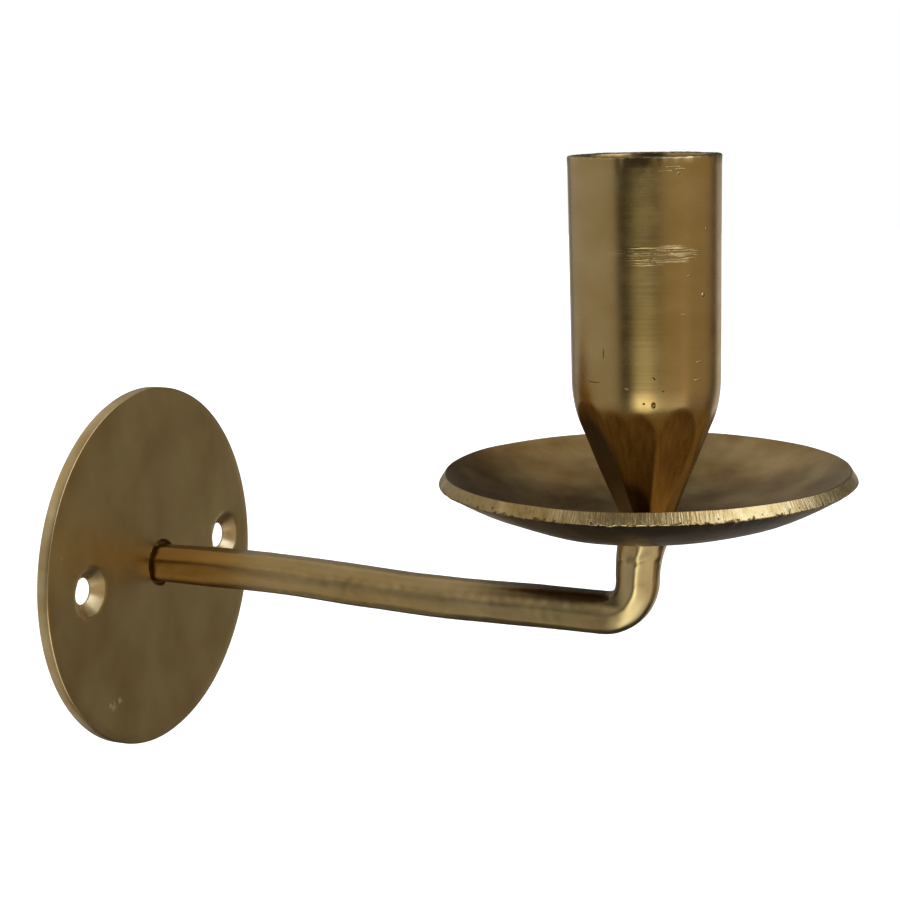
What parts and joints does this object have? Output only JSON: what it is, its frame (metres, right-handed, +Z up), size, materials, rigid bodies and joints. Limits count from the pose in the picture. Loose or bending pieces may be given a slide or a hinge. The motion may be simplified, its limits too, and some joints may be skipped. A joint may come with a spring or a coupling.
{
  "type": "wall sconce candle holder",
  "caption": "Round wall plate with a forged brass arm that turns up under a dished drip pan and a tapered cup for a dinner candle.",
  "frame": {"origin": "middle of the bar's end, in the plane of the wall plate's back face", "axes": "+Y into the wall, -Y along the arm into the room, +Z up, X across the wall"},
  "size_m": [0.0788, 0.1504, 0.1229],
  "materials": {
    "plate_brass": "satin, antiqued sheet",
    "braze": "dull, as run",
    "forged_brass": "satin, hand forged",
    "pan_brass": "satin, hammered sheet with a filed rim",
    "cup_brass": "satin tube with a hammered taper",
    "screw_brass": "turned"
  },
  "bodies": {
    "root": {"wall_plate": "plate_brass", "arm_braze": "braze", "arm": "forged_brass", "drip_pan": "pan_brass", "candle_cup": "cup_brass", "cup_screw": "screw_brass"}
  },
  "joints": []
}
